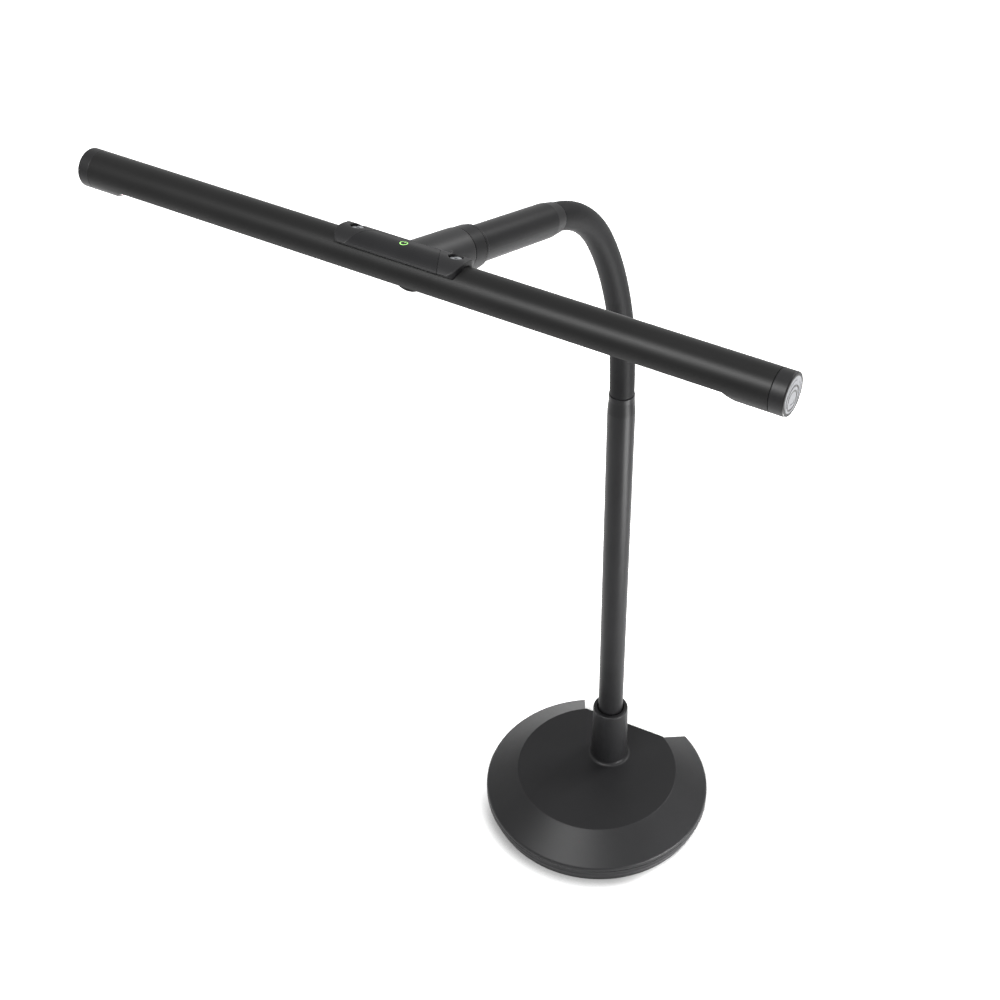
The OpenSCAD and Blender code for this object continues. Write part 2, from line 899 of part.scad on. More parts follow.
module arm_lead() {
  lead_end = arm_l - core_held - 0.3;
  lead_start = spindle_start - 2;
  color("#17181a")
    at_arm()
      along_arm(lead_start)
        cylinder(r = lead_r, h = lead_end - lead_start);
}

// ---------------------------------------------------------------- light bar

// What milling the light window takes away from the bar's underside, moved down by lower
module window_cutter(lower) {
  depth = bar_r + 5;
  low = window_z + lower;
  run = window_ramp * (depth - low) / (bar_r - window_z);
  rotate([90, 0, 0])
    translate([0, 0, -bar_d])
      linear_extrude(2 * bar_d)
        polygon([
          [-window_half, -low],
          [window_half, -low],
          [window_half + run, -depth],
          [-window_half - run, -depth]
        ]);
}

// The seat that the milled light bar leaves in the housing
module bar_seat() {
  difference() {
    along_bar(-saddle_l) cylinder(r = tube_seat_r, h = 2 * saddle_l);
    window_cutter(tube_seat_r - bar_r);
  }
}

module lamp_tube() {
  color(black_satin)
    at_head()
      difference() {
        along_bar(-tube_half) cylinder(r = bar_r, h = 2 * tube_half);
        along_bar(-tube_half - cut) cylinder(r = bar_bore_r, h = 2 * (tube_half + cut));
        window_cutter(0);
        at_saddle_screws() translate([0, 0, 5]) cylinder(r = saddle_screw_d / 2 + 0.05, h = bar_d);
        along_arm(0) cylinder(r = lead_slot_r, h = bar_d);
      }
}

// The opal strip that closes the window, flush with the milled edges
module diffuser() {
  color(opal)
    at_head()
      difference() {
        along_bar(-window_end + 2) cylinder(r = glow_r, h = 2 * (window_end - 2));
        window_cutter(0);
        diffuser_inside();
      }
}

// The space above the diffuser, inside the lamp tube
module diffuser_inside() {
  reach = window_end + 10;
  top = window_z - diffuser_t;
  run = window_ramp / (bar_r - window_z);
  rotate([90, 0, 0])
    translate([0, 0, -bar_d])
      linear_extrude(2 * bar_d)
        polygon([
          [-window_half + 1, -top],
          [window_half - 1, -top],
          [window_half + run * (bar_r - top), -bar_r],
          [reach, -bar_r],
          [reach, bar_r],
          [-reach, bar_r],
          [-reach, -bar_r],
          [-window_half - run * (bar_r - top), -bar_r]
        ]);
}

// The aluminium strip that fills the top of the tube and holds the light source board
module heat_spreader() {
  color("#b6b9bd")
    at_head()
      difference() {
        along_bar(-spreader_half) cylinder(r = glow_r, h = 2 * spreader_half);
        translate([-bar_l / 2, -bar_r, -bar_r]) cube([bar_l, bar_d, bar_r + spreader_z]);
        at_saddle_screws() cylinder(r = saddle_screw_d / 2, h = bar_d);
        translate([-lead_slot_r, -1, 0]) cube([2 * lead_slot_r, bar_d, bar_bore_r - 2]);
      }
}

module led_board() {
  color("#e9e9e4")
    at_head()
      translate([-spreader_half, -board_w / 2, board_z])
        cube([2 * spreader_half, board_w, board_t]);
}

module led_chips() {
  color("#f0dc8a")
    at_head()
      for (i = [0:led_count - 1])
        translate([(i - (led_count - 1) / 2) * led_pitch - led_size.x / 2, -led_size.y / 2, board_z - led_size.z])
          cube(led_size);
}

// One end cap, built for the right end: skirt, plug and the recess for the badge plate
module end_cap() {
  along_bar(tube_half)
    difference() {
      union() {
        rotate_extrude()
          polygon(rounded([
            [0, 0],
            [bar_r - seam_d, 0],
            [bar_r, seam_d],
            [bar_r, cap_l],
            [0, cap_l]
          ], [0, 0, 0, cap_edge_r, 0]));
        difference() {
          translate([0, 0, -cap_plug_l]) cylinder(r = bar_bore_r - fit_gap, h = cap_plug_l);
          translate([0, 0, -cap_plug_l - cut]) cylinder(r = bar_bore_r - 2, h = cap_plug_l);
        }
      }
      translate([0, 0, cap_l - badge_t]) cylinder(r = badge_d / 2 + fit_gap, h = badge_t + cut);
    }
}

// One badge plate: a plain disc with turned rings
module end_badge() {
  along_bar(tube_half + cap_l - badge_t)
    difference() {
      cylinder(d = badge_d, h = badge_t);
      for (r = [badge_d * 0.4, badge_d * 0.27])
        translate([0, 0, badge_t - 0.3]) ring(r + 0.25, r - 0.25, cut);
    }
}

module end_cap_right() {
  color(black_plastic) at_head() end_cap();
}

module end_cap_left() {
  color(black_plastic) at_head() mirror([1, 0, 0]) end_cap();
}

module end_badge_right() {
  color("#b4b6b8") at_head() end_badge();
}

module end_badge_left() {
  color("#b4b6b8") at_head() mirror([1, 0, 0]) end_badge();
}

// ---------------------------------------------------------------- housing

module at_saddle() {
  translate([saddle_x, 0, 0]) children();
}

module at_saddle_screws() {
  at_saddle()
    for (side = [-1, 1])
      translate([side * saddle_screw_x, saddle_screw_y, 0])
        children();
}

// The saddle's outside as seen along the bar, moved in by inset and run further round its front
function saddle_outline(inset, further) =
  let (r = saddle_r - inset, wrap = saddle_wrap + further)
  concat(
    [[0, 0]],
    [for (i = [0:12]) r * [-sin(wrap * (1 - i / 12)), cos(wrap * (1 - i / 12))]],
    corner([0, r], [saddle_flat, r], saddle_slope_end - [inset, inset], 3),
    [saddle_slope_end - [inset, inset]]
  );

// The saddle's outline, extruded over the length l of the bar
module saddle_slice(l, inset, further = 0) {
  rotate([90, 0, 90])
    translate([0, 0, -l / 2])
      linear_extrude(l)
        polygon(saddle_outline(inset, further));
}

module head_housing() {
  color(black_plastic)
    at_head()
      difference() {
        union() {
          along_arm(0) housing_barrel();
          saddle_body();
        }
        bar_seat();
        at_saddle() panel_pocket(panel_gap);
        at_saddle_screws() {
          cylinder(r = saddle_screw_d / 2 + 0.2, h = housing_d);
          translate([0, 0, screw_seat_z]) cylinder(r = recess_r, h = housing_d);
        }
        along_arm(web_start - cut) cylinder(r = spindle_r + spindle_gap, h = housing_l);
        housing_cavity();
      }
}

// The round housing behind the bar; its underside ends in a lip below the bar
module housing_barrel() {
  r = housing_r - joint_step;
  difference() {
    rotate_extrude()
      polygon(rounded([
        [0, -r],
        [r, -r],
        [r, housing_l],
        [0, housing_l]
      ], [0, 0, 0.6, 0]));
    translate([-housing_d, 0, -housing_d]) cube([2 * housing_d, housing_d, housing_d + lip_y]);
    translate([-housing_d, -housing_d, -housing_d]) cube([2 * housing_d, housing_d, housing_d + saddle_flat - 1]);
  }
}

// The saddle, and the shelf that its back sweeps over into the round housing
module saddle_body() {
  intersection() {
    union() {
      at_saddle() saddle_slice(saddle_l + 2 * cut, 0);
      translate([-shelf_half, 0, -2]) cube([2 * shelf_half, saddle_back + sweep_r, shelf_z + 2]);
    }
    saddle_plan();
  }
}

// The saddle's outline from above, with rounded corners and a sweep on each side of the round housing
module saddle_plan() {
  left = saddle_x - saddle_half;
  right = saddle_x + saddle_half;
  front = -saddle_front - free_gap;
  rear = saddle_back + sweep_r + cut;
  translate([0, 0, -housing_d])
    linear_extrude(2 * housing_d)
      polygon(rounded([
        [left, front],
        [right, front],
        [right, saddle_back],
        [sweep_x, saddle_back],
        [sweep_x, rear],
        [-sweep_x, rear],
        [-sweep_x, saddle_back],
        [left, saddle_back]
      ], [saddle_corner, saddle_corner, saddle_back_corner, sweep_r, 0, 0, sweep_r, saddle_back_corner]));
}

// The hollow behind the bar for the spindle's end, its nut and the touch board
module housing_cavity() {
  along_arm(0)
    difference() {
      cylinder(r = cavity_r, h = web_start);
      translate([-cavity_r, 2, stop_y - stop_rib_w / 2])
        difference() {
          cube([2 * cavity_r, cavity_r, stop_rib_w]);
          translate([cavity_r, -2, -cut]) cylinder(r = stop_rib_r, h = stop_rib_w + 2 * cut);
        }
    }
}

// The space for the touch panel, larger than it by grow on each side
module panel_pocket(grow) {
  intersection() {
    difference() {
      saddle_slice(saddle_l, -cut, 6);
      saddle_slice(saddle_l + cut, panel_t + grow / 2, 12);
    }
    panel_plan(grow);
  }
}

// Half the length of the touch panel at a distance behind the bar's axis
function panel_half_at(y, grow) = panel_half - panel_slope * (y + saddle_front) + grow / cos(atan(panel_slope));

module panel_plan(grow) {
  near = -saddle_front - 3;
  far = panel_back + grow;
  linear_extrude(housing_d)
    polygon(rounded([
      [-panel_half_at(near, grow), near],
      [panel_half_at(near, grow), near],
      [panel_half_at(far, grow), far],
      [-panel_half_at(far, grow), far]
    ], [0, 0, 3, 3]));
}

module touch_panel() {
  color("#333437")
    at_head()
      at_saddle()
        difference() {
          intersection() {
            difference() {
              saddle_slice(saddle_l, 0);
              saddle_slice(saddle_l + cut, panel_t, 6);
            }
            panel_plan(0);
          }
          icon_layer(-cut, icon_t + 0.05, 0.05);
        }
}

// The standby sign seen from above: an open ring with a short bar
module icon(grow) {
  difference() {
    cylinder(r = icon_r + grow, h = housing_d);
    translate([0, 0, -cut]) cylinder(r = icon_r - icon_line - grow, h = housing_d + 2 * cut);
    translate([-0.8 + grow, 0, -cut]) cube([1.6 - 2 * grow, 2 * icon_r, housing_d + 2 * cut]);
  }
  translate([-icon_line / 2 - grow, 0.7 - grow, 0])
    cube([icon_line + 2 * grow, icon_r - 0.5 + 2 * grow, housing_d]);
}

// The sign laid into the saddle's outside, between two depths below it
module icon_layer(from, to, grow) {
  intersection() {
    difference() {
      saddle_slice(4 * icon_r, from);
      saddle_slice(4 * icon_r + cut, to, 6);
    }
    translate([icon_place.x, icon_place.y, 0]) icon(grow);
  }
}

module touch_icon() {
  color("#b9e39a")
    at_head()
      at_saddle()
        icon_layer(0.05, icon_t, 0);
}

// The small board behind the bar that senses a finger on the panel
module touch_board() {
  color(board_green)
    at_head()
      translate([-5, bar_r + 1, cavity_r - 2.4])
        cube([10, 6, 1]);
}

module saddle_screws() {
  color("#d5d8dc")
    at_head()
      at_saddle_screws()
        translate([0, 0, screw_seat_z])
          difference() {
            union() {
              cylinder(r = saddle_head_r, h = saddle_head_h);
              translate([0, 0, spreader_z - screw_seat_z + 0.5])
                cylinder(r = saddle_screw_d / 2 - 0.05, h = screw_seat_z - spreader_z);
            }
            translate([0, 0, saddle_head_h]) mirror([0, 0, 1]) phillips(saddle_screw_d);
          }
}

// ---------------------------------------------------------------- the lamp

foot_pad();
base_tray();
ballast_plate();
base_cover();
base_screws();
driver_board();
driver_parts();
driver_spacers();
driver_screws();
dc_inlet();
pole_bolt();
pole_washer();
pole_plug();
pole_tube();
collar_bush();
pole_lead();
neck_ferrule_lower();
neck_hose(1);  // neck_hose_1
neck_hose(2);  // neck_hose_2
neck_hose(3);  // neck_hose_3
neck_hose(4);  // neck_hose_4
neck_hose(5);  // neck_hose_5
neck_hose(6);  // neck_hose_6
neck_core(1);  // neck_core_1
neck_core(2);  // neck_core_2
neck_core(3);  // neck_core_3
neck_core(4);  // neck_core_4
neck_core(5);  // neck_core_5
neck_core(6);  // neck_core_6
neck_lead(1);  // neck_lead_1
neck_lead(2);  // neck_lead_2
neck_lead(3);  // neck_lead_3
neck_lead(4);  // neck_lead_4
neck_lead(5);  // neck_lead_5
neck_lead(6);  // neck_lead_6
neck_ferrule_upper();
arm_sleeve();
swivel_ring();
swivel_spindle();
swivel_nut();
spring_washer();
friction_washer();
thrust_washer();
stop_pin();
arm_lead();
head_housing();
touch_panel();
touch_icon();
touch_board();
saddle_screws();
lamp_tube();
heat_spreader();
led_board();
led_chips();
diffuser();
end_cap_left();
end_cap_right();
end_badge_left();
end_badge_right();
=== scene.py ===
from math import cos, pi, radians, sin

import bpy
from mathutils import Matrix, Vector


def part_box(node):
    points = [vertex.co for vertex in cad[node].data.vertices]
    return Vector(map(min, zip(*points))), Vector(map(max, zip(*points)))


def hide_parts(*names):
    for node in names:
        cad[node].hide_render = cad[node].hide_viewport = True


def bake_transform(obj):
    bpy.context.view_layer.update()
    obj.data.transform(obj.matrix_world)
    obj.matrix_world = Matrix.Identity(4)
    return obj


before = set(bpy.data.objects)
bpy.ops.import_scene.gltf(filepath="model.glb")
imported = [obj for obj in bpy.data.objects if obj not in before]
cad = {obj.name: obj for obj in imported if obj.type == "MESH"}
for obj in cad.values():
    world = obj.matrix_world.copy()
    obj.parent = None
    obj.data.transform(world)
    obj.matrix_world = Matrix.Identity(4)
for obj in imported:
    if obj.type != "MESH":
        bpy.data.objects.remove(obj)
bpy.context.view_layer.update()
print("frame loaded with", len(cad), "parts")


def linear(hexColour):
    # an sRGB hex colour as linear red, green, blue and alpha
    channels = [int(hexColour[i:i + 2], 16) / 255 for i in (1, 3, 5)]
    return [c / 12.92 if c <= 0.04045 else ((c + 0.055) / 1.055) ** 2.4 for c in channels] + [1]


def perMm(size):
    # a texture scale for a pattern that repeats every size mm, since the scene is in metres
    return 1000 / size


def addNode(tree, kind, values=None, links=None, **settings):
    node = tree.nodes.new(kind)
    for name, value in settings.items():
        setattr(node, name, value)
    for socket, value in (values or {}).items():
        node.inputs[socket].default_value = value
    for socket, source in (links or {}).items():
        tree.links.new(source, node.inputs[socket])
    return node


mixFrom, mixTo, mixResult = 6, 7, 2     # the colour sockets of a Mix node
plainFrom, plainTo = 2, 3               # its sockets for plain numbers


def newSurface(name, colour, roughness, **uniform):
    material = bpy.data.materials.new(name)
    material.use_nodes = True
    tree = material.node_tree
    shader = tree.nodes["Principled BSDF"]
    shader.inputs["Base Color"].default_value = linear(colour)
    shader.inputs["Roughness"].default_value = roughness
    for socket, value in uniform.items():
        shader.inputs[socket.replace("_", " ")].default_value = value
    place = addNode(tree, "ShaderNodeTexCoord").outputs["Object"]
    return material, tree, shader, place


def mottle(tree, shader, place, cloudMm, low, high):
    # slow drift between two tones of the same finish
    cloud = addNode(tree, "ShaderNodeTexNoise", {"Scale": perMm(cloudMm), "Detail": 4}, {"Vector": place})
    faint, full = 0.25, 0.75          # most of the noise lies between these
    spread = addNode(tree, "ShaderNodeMapRange", {"From Min": faint, "From Max": full},
                     {"Value": cloud.outputs["Fac"]})
    tones = addNode(tree, "ShaderNodeMix", {mixFrom: linear(low), mixTo: linear(high)},
                    {"Factor": spread.outputs["Result"]}, data_type="RGBA")
    tree.links.new(tones.outputs[mixResult], shader.inputs["Base Color"])


def roughen(tree, shader, source, low, high):
    # the roughness follows a pattern between two values
    spread = addNode(tree, "ShaderNodeMapRange", {"To Min": low, "To Max": high}, {"Value": source})
    tree.links.new(spread.outputs["Result"], shader.inputs["Roughness"])


def emboss(tree, shader, height, depthMm, over=None):
    # raises the pattern by its depth, over the smoothed edges where these are given
    links = {"Height": height}
    if over:
        links["Normal"] = over
    bump = addNode(tree, "ShaderNodeBump", {"Distance": depthMm / 1000}, links)
    tree.links.new(bump.outputs["Normal"], shader.inputs["Normal"])


# Powder coat on steel tube, sprayed and baked: deep satin black, a soft wide highlight and
# the faint orange peel of the baked powder.
def powderCoat():
    coat = {"deep": "#0f0f10", "pale": "#161617", "roughness": (0.36, 0.43), "mirror": 0.09,
            "cloudMm": 60, "peelMm": 2.2, "peelDepthMm": 0.012}
    material, tree, shader, place = newSurface("satinPowderCoat", coat["deep"], coat["roughness"][0],
                                               Specular_IOR_Level=coat["mirror"])
    mottle(tree, shader, place, coat["cloudMm"], coat["deep"], coat["pale"])
    peel = addNode(tree, "ShaderNodeTexNoise", {"Scale": perMm(coat["peelMm"]), "Detail": 2},
                   {"Vector": place})
    roughen(tree, shader, peel.outputs["Fac"], *coat["roughness"])
    emboss(tree, shader, peel.outputs["Fac"], coat["peelDepthMm"])
    return material


# Aluminium tube, bead blasted and anodised satin black: cooler and a little deeper than the
# powder coat, with a clean soft band of light along it and the fine tooth of the blasting.
def anodisedAluminium():
    # the blasting's tooth is about 0.1 mm; it is drawn 0.9 mm coarse so that it shows at all
    skin = {"deep": "#0a0a0a", "pale": "#0f0f0f", "roughness": (0.38, 0.45), "mirror": 0.13,
            "cloudMm": 45, "toothMm": 0.9, "toothDepthMm": 0.006, "drawMm": 0.7, "drawStretch": 50}
    material, tree, shader, place = newSurface("blackAnodisedAluminium", skin["deep"], skin["roughness"][0],
                                               Specular_IOR_Level=skin["mirror"])
    mottle(tree, shader, place, skin["cloudMm"], skin["deep"], skin["pale"])
    tooth = addNode(tree, "ShaderNodeTexNoise", {"Scale": perMm(skin["toothMm"]), "Detail": 3},
                    {"Vector": place})
    # extrusion lines, long along the bar and fine across it
    stretched = addNode(tree, "ShaderNodeMapping", {"Scale": (1 / skin["drawStretch"], 1, 1)},
                        {"Vector": place})
    drawn = addNode(tree, "ShaderNodeTexNoise", {"Scale": perMm(skin["drawMm"]), "Detail": 2},
                    {"Vector": stretched.outputs["Vector"]})
    roughen(tree, shader, drawn.outputs["Fac"], *skin["roughness"])
    emboss(tree, shader, tooth.outputs["Fac"], skin["toothDepthMm"])
    return material


# ABS, injection moulded in a spark-eroded tool: matte black with an even fine grain that
# breaks up the highlight, and slightly polished edges.
mouldings = {
    "mouldedAbs": {"deep": "#101011", "pale": "#161617", "roughness": (0.4, 0.49), "edgeMm": 0.4},
    "softEdgedAbs": {"deep": "#101011", "pale": "#151516", "roughness": (0.4, 0.49), "edgeMm": 1.3},
    "capAbs": {"deep": "#0b0b0c", "pale": "#101011", "roughness": (0.4, 0.48), "edgeMm": 0.4},
}


def blackAbs(name):
    # spark-eroded grain is about 0.3 mm; it is drawn 1.1 mm coarse so that it shows from a step away
    shell = {"mirror": 0.17, "cloudMm": 70, "grainMm": 1.1, "grainDepthMm": 0.03}
    look = mouldings[name]
    material, tree, shader, place = newSurface(name, look["deep"], look["roughness"][0],
                                               Specular_IOR_Level=shell["mirror"])
    mottle(tree, shader, place, shell["cloudMm"], look["deep"], look["pale"])
    grain = addNode(tree, "ShaderNodeTexNoise",
                    {"Scale": perMm(shell["grainMm"]), "Detail": 3, "Roughness": 0.6}, {"Vector": place})
    roughen(tree, shader, grain.outputs["Fac"], *look["roughness"])
    rounded = addNode(tree, "ShaderNodeBevel", {"Radius": look["edgeMm"] / 1000}, samples=6)
    emboss(tree, shader, grain.outputs["Fac"], shell["grainDepthMm"], over=rounded.outputs["Normal"])
    return material


# Silicone rubber, extruded as a hose and dusted with talc: very matte, nearly no highlight,
# with a soft bloom and faint extrusion marks.
def siliconeHose():
    hose = {"deep": "#0f0f10", "pale": "#161617", "roughness": (0.48, 0.58), "mirror": 0.05,
            "talc": 0.01, "talcRoughness": 0.5, "bloomMm": 30, "skinMm": 1.6, "skinDepthMm": 0.02}
    material, tree, shader, place = newSurface("siliconeHose", hose["deep"], hose["roughness"][0],
                                               Sheen_Weight=hose["talc"],
                                               Sheen_Roughness=hose["talcRoughness"],
                                               Specular_IOR_Level=hose["mirror"])
    mottle(tree, shader, place, hose["bloomMm"], hose["deep"], hose["pale"])
    skin = addNode(tree, "ShaderNodeTexNoise", {"Scale": perMm(hose["skinMm"]), "Detail": 4},
                   {"Vector": place})
    roughen(tree, shader, skin.outputs["Fac"], *hose["roughness"])
    emboss(tree, shader, skin.outputs["Fac"], hose["skinDepthMm"])
    return material


# Thermoplastic elastomer, moulded: dull black rubber with a fine pimpled face for grip.
def footRubber():
    pad = {"deep": "#1a1b1c", "pale": "#232425", "roughness": 0.82, "dustMm": 40,
           "pimpleMm": 2.4, "pimpleDepthMm": 0.12, "pimpleScatter": 0.15}
    material, tree, shader, place = newSurface("footRubber", pad["deep"], pad["roughness"])
    mottle(tree, shader, place, pad["dustMm"], pad["deep"], pad["pale"])
    pimples = addNode(tree, "ShaderNodeTexVoronoi",
                      {"Scale": perMm(pad["pimpleMm"]), "Randomness": pad["pimpleScatter"]},
                      {"Vector": place})
    emboss(tree, shader, pimples.outputs["Distance"], -pad["pimpleDepthMm"])
    return material


# Bright chromium plate on a steel screw: a sharp mirror with the faint haze of the plating.
def chromePlate():
    plate = {"colour": "#8d9094", "roughness": (0.14, 0.26), "hazeMm": 0.8, "hazeDepthMm": 0.01}
    material, tree, shader, place = newSurface("chromePlate", plate["colour"], plate["roughness"][0],
                                               Metallic=1.0)
    haze = addNode(tree, "ShaderNodeTexNoise", {"Scale": perMm(plate["hazeMm"]), "Detail": 2},
                   {"Vector": place})
    roughen(tree, shader, haze.outputs["Fac"], *plate["roughness"])
    emboss(tree, shader, haze.outputs["Fac"], plate["hazeDepthMm"])
    return material


# Aluminium, turned on a lathe and left bare: pale grey with fine circular tool marks.
# The marks run about the light bar's axis through the point axisPoint, in the frame's metres.
def turnedAluminium(axisPoint):
    plate = {"colour": "#848588", "groove": "#161617", "roughness": (0.38, 0.5), "markMm": 0.5,
             "markDepthMm": 0.01, "groovesMm": (8.4, 5.67), "grooveWidthMm": 1.1}
    material, tree, shader, place = newSurface("turnedAluminium", plate["colour"], plate["roughness"][0],
                                               Metallic=1.0)
    centred = addNode(tree, "ShaderNodeVectorMath", {1: axisPoint}, {0: place}, operation="SUBTRACT")
    flat = addNode(tree, "ShaderNodeVectorMath", {1: (0, 1, 1)}, {0: centred.outputs["Vector"]},
                   operation="MULTIPLY")
    reach = addNode(tree, "ShaderNodeVectorMath", {}, {0: flat.outputs["Vector"]}, operation="LENGTH")
    turns = addNode(tree, "ShaderNodeMath", {1: 2 * pi * perMm(plate["markMm"])},
                    {0: reach.outputs["Value"]}, operation="MULTIPLY")
    marks = addNode(tree, "ShaderNodeMath", {}, {0: turns.outputs["Value"]}, operation="SINE")
    roughen(tree, shader, marks.outputs["Value"], *plate["roughness"])
    # the two turned grooves are filled with black lacquer
    lines = [addNode(tree, "ShaderNodeMath", {1: groove / 1000, 2: plate["grooveWidthMm"] / 2000},
                     {0: reach.outputs["Value"]}, operation="COMPARE") for groove in plate["groovesMm"]]
    inked = addNode(tree, "ShaderNodeMath", {}, {0: lines[0].outputs["Value"], 1: lines[1].outputs["Value"]},
                    operation="MAXIMUM").outputs["Value"]
    tones = addNode(tree, "ShaderNodeMix", {mixFrom: linear(plate["colour"]), mixTo: linear(plate["groove"])},
                    {"Factor": inked}, data_type="RGBA")
    tree.links.new(tones.outputs[mixResult], shader.inputs["Base Color"])
    # the lacquer is no metal
    bare = addNode(tree, "ShaderNodeMath", {0: 1.0}, {1: inked}, operation="SUBTRACT")
    tree.links.new(bare.outputs["Value"], shader.inputs["Metallic"])
    emboss(tree, shader, marks.outputs["Value"], plate["markDepthMm"])
    return material


# Polyester film with a printed back, laid on the saddle: smoother and a touch shinier than
# the moulding round it.
def touchFilm():
    film = {"deep": "#101011", "pale": "#161617", "mirror": 0.12, "roughness": (0.36, 0.43), "cloudMm": 25,
            "skinMm": 3.0, "skinDepthMm": 0.01}
    material, tree, shader, place = newSurface("touchFilm", film["deep"], film["roughness"][0],
                                               Specular_IOR_Level=film["mirror"])
    mottle(tree, shader, place, film["cloudMm"], film["deep"], film["pale"])
    skin = addNode(tree, "ShaderNodeTexNoise", {"Scale": perMm(film["skinMm"]), "Detail": 2},
                   {"Vector": place})
    roughen(tree, shader, skin.outputs["Fac"], *film["roughness"])
    emboss(tree, shader, skin.outputs["Fac"], film["skinDepthMm"])
    return material


# Screen-printed ink over a lit window: flat green that seems to glow a little.
def litInk():
    ink = {"deep": "#86c863", "pale": "#9ad978", "glowColour": "#9be27a", "glow": 0.35, "roughness": 0.5,
           "cloudMm": 2, "meshMm": 0.35, "meshDepthMm": 0.01}
    material, tree, shader, place = newSurface("litInk", ink["deep"], ink["roughness"],
                                               Emission_Color=linear(ink["glowColour"]),
                                               Emission_Strength=ink["glow"])
    mesh = addNode(tree, "ShaderNodeTexNoise", {"Scale": perMm(ink["meshMm"]), "Detail": 1},
                   {"Vector": place})
    emboss(tree, shader, mesh.outputs["Fac"], ink["meshDepthMm"])
    mottle(tree, shader, place, ink["cloudMm"], ink["deep"], ink["pale"])
    return material


# Opal polycarbonate, extruded: milky white that scatters the light behind it, with a fine
# frosted face.
def opalStrip():
    strip = {"deep": "#eeede6", "pale": "#f5f4ef", "roughness": (0.45, 0.6), "milkiness": 0.4,
             "scatterMm": 2.0, "cloudMm": 30, "frostMm": 0.8, "frostDepthMm": 0.01}
    material, tree, shader, place = newSurface("opalPolycarbonate", strip["deep"], strip["roughness"][0],
                                               Subsurface_Weight=strip["milkiness"],
                                               Subsurface_Scale=strip["scatterMm"] / 1000)
    mottle(tree, shader, place, strip["cloudMm"], strip["deep"], strip["pale"])
    frost = addNode(tree, "ShaderNodeTexNoise", {"Scale": perMm(strip["frostMm"]), "Detail": 2},
                    {"Vector": place})
    roughen(tree, shader, frost.outputs["Fac"], *strip["roughness"])
    emboss(tree, shader, frost.outputs["Fac"], strip["frostDepthMm"])
    return material


# The hidden parts: each keeps the tone and grain of its own stock.
hiddenFinishes = {
    # zinc-plated steel: pale blue-grey with a soft crystalline cloud
    "zincSteel": {"low": "#9ea2a7", "high": "#b9bdc2", "rough": (0.3, 0.5), "cloudMm": 3, "grainMm": 0.4,
                  "depthMm": 0.01, "metallic": 1.0},
    # grey cast iron, sand cast: dark and pitted
    "castIron": {"low": "#3b3c3e", "high": "#505154", "rough": (0.6, 0.8), "cloudMm": 12, "grainMm": 1.2,
                 "depthMm": 0.15, "metallic": 0.6},
    # brass, turned: warm yellow
    "turnedBrass": {"low": "#b3924a", "high": "#cdac60", "rough": (0.22, 0.36), "cloudMm": 4, "grainMm": 0.3,
                    "depthMm": 0.008, "metallic": 1.0},
    # glass-epoxy circuit board under green solder mask: the weave just shows
    "solderMask": {"low": "#1f5a37", "high": "#2c7047", "rough": (0.3, 0.42), "cloudMm": 1.5, "grainMm": 0.6,
                   "depthMm": 0.02, "metallic": 0.0},
    # aluminium circuit board under white solder mask
    "whiteMask": {"low": "#e4e4de", "high": "#efefea", "rough": (0.35, 0.5), "cloudMm": 6, "grainMm": 0.6,
                  "depthMm": 0.01, "metallic": 0.0},
    # epoxy and ferrite components: near black, slightly glossy
    "componentBlack": {"low": "#1f2022", "high": "#33353a", "rough": (0.3, 0.5), "cloudMm": 3, "grainMm": 0.4,
                       "depthMm": 0.01, "metallic": 0.0},
    # glass-filled nylon, moulded: warm off-white
    "mouldedNylon": {"low": "#cfcbbd", "high": "#dedacd", "rough": (0.5, 0.65), "cloudMm": 5, "grainMm": 0.5,
                     "depthMm": 0.02, "metallic": 0.0},
    # soft vinyl lead jacket: black, dull
    "vinylJacket": {"low": "#161718", "high": "#202122", "rough": (0.5, 0.65), "cloudMm": 8, "grainMm": 0.6,
                    "depthMm": 0.02, "metallic": 0.0},
    # aluminium extrusion, mill finish
    "millAluminium": {"low": "#a9abae", "high": "#bfc1c4", "rough": (0.3, 0.48), "cloudMm": 8, "grainMm": 0.5,
                      "depthMm": 0.01, "metallic": 1.0},
    # silicone with phosphor over each light source: yellow
    "phosphorGel": {"low": "#e6c65a", "high": "#f2d876", "rough": (0.2, 0.35), "cloudMm": 1, "grainMm": 0.3,
                    "depthMm": 0.01, "metallic": 0.0},
    # polyamide, moulded: black with a faint sheen
    "blackPolyamide": {"low": "#18191a", "high": "#222324", "rough": (0.35, 0.48), "cloudMm": 6,
                       "grainMm": 0.5, "depthMm": 0.02, "metallic": 0.0},
}


def hiddenFinish(name):
    look = hiddenFinishes[name]
    material, tree, shader, place = newSurface(name, look["low"], look["rough"][0], Metallic=look["metallic"])
    mottle(tree, shader, place, look["cloudMm"], look["low"], look["high"])
    grain = addNode(tree, "ShaderNodeTexNoise", {"Scale": perMm(look["grainMm"]), "Detail": 3},
                    {"Vector": place})
    roughen(tree, shader, grain.outputs["Fac"], *look["rough"])
    emboss(tree, shader, grain.outputs["Fac"], look["depthMm"])
    return material


barLow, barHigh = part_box("lamp_tube")
barMiddle = (barLow + barHigh) / 2

finishes = {
    "powder": powderCoat(),
    "anodised": anodisedAluminium(),
    "hose": siliconeHose(),
    "foot": footRubber(),
    "chrome": chromePlate(),
    "turned": turnedAluminium(barMiddle),
    "film": touchFilm(),
    "ink": litInk(),
    "opal": opalStrip(),
}
finishes.update({name: blackAbs(name) for name in mouldings})
finishes.update({name: hiddenFinish(name) for name in hiddenFinishes})


def numbered(name):
    # the six lengths of the neck
    return " ".join("%s_%d" % (name, length) for length in range(1, 7))


